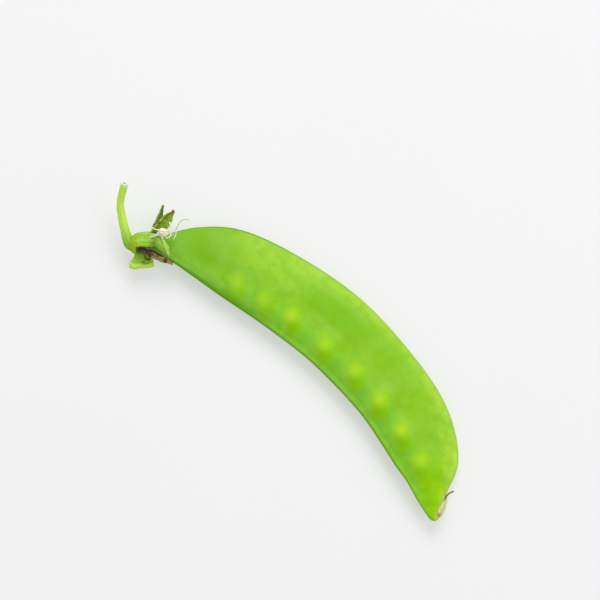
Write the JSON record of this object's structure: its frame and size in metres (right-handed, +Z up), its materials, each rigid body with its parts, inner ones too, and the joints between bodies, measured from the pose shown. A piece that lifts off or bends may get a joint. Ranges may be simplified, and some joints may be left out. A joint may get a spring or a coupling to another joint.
{
  "type": "snow pea pod",
  "caption": "Flat curved snow pea pod lying on its side, with a row of small pea bumps, calyx, cut stalk and dried tip thread.",
  "frame": {"origin": "on the surface that the pod lies on, under the middle of the whole object", "axes": "+X from the stalk end to the tip along the pod, +Y towards the rounded back edge, +Z up from the surface"},
  "size_m": [0.102, 0.0326, 0.0097],
  "materials": {
    "pod": "satin",
    "calyx": "matte",
    "pedicel": "satin",
    "stamens": "matte",
    "petal_remnant": "matte",
    "style": "matte"
  },
  "bodies": {
    "root": {"pod": "pod", "calyx": "calyx", "pedicel": "pedicel", "stamens": "stamens", "petal_remnant": "petal_remnant", "style": "style"}
  },
  "joints": []
}
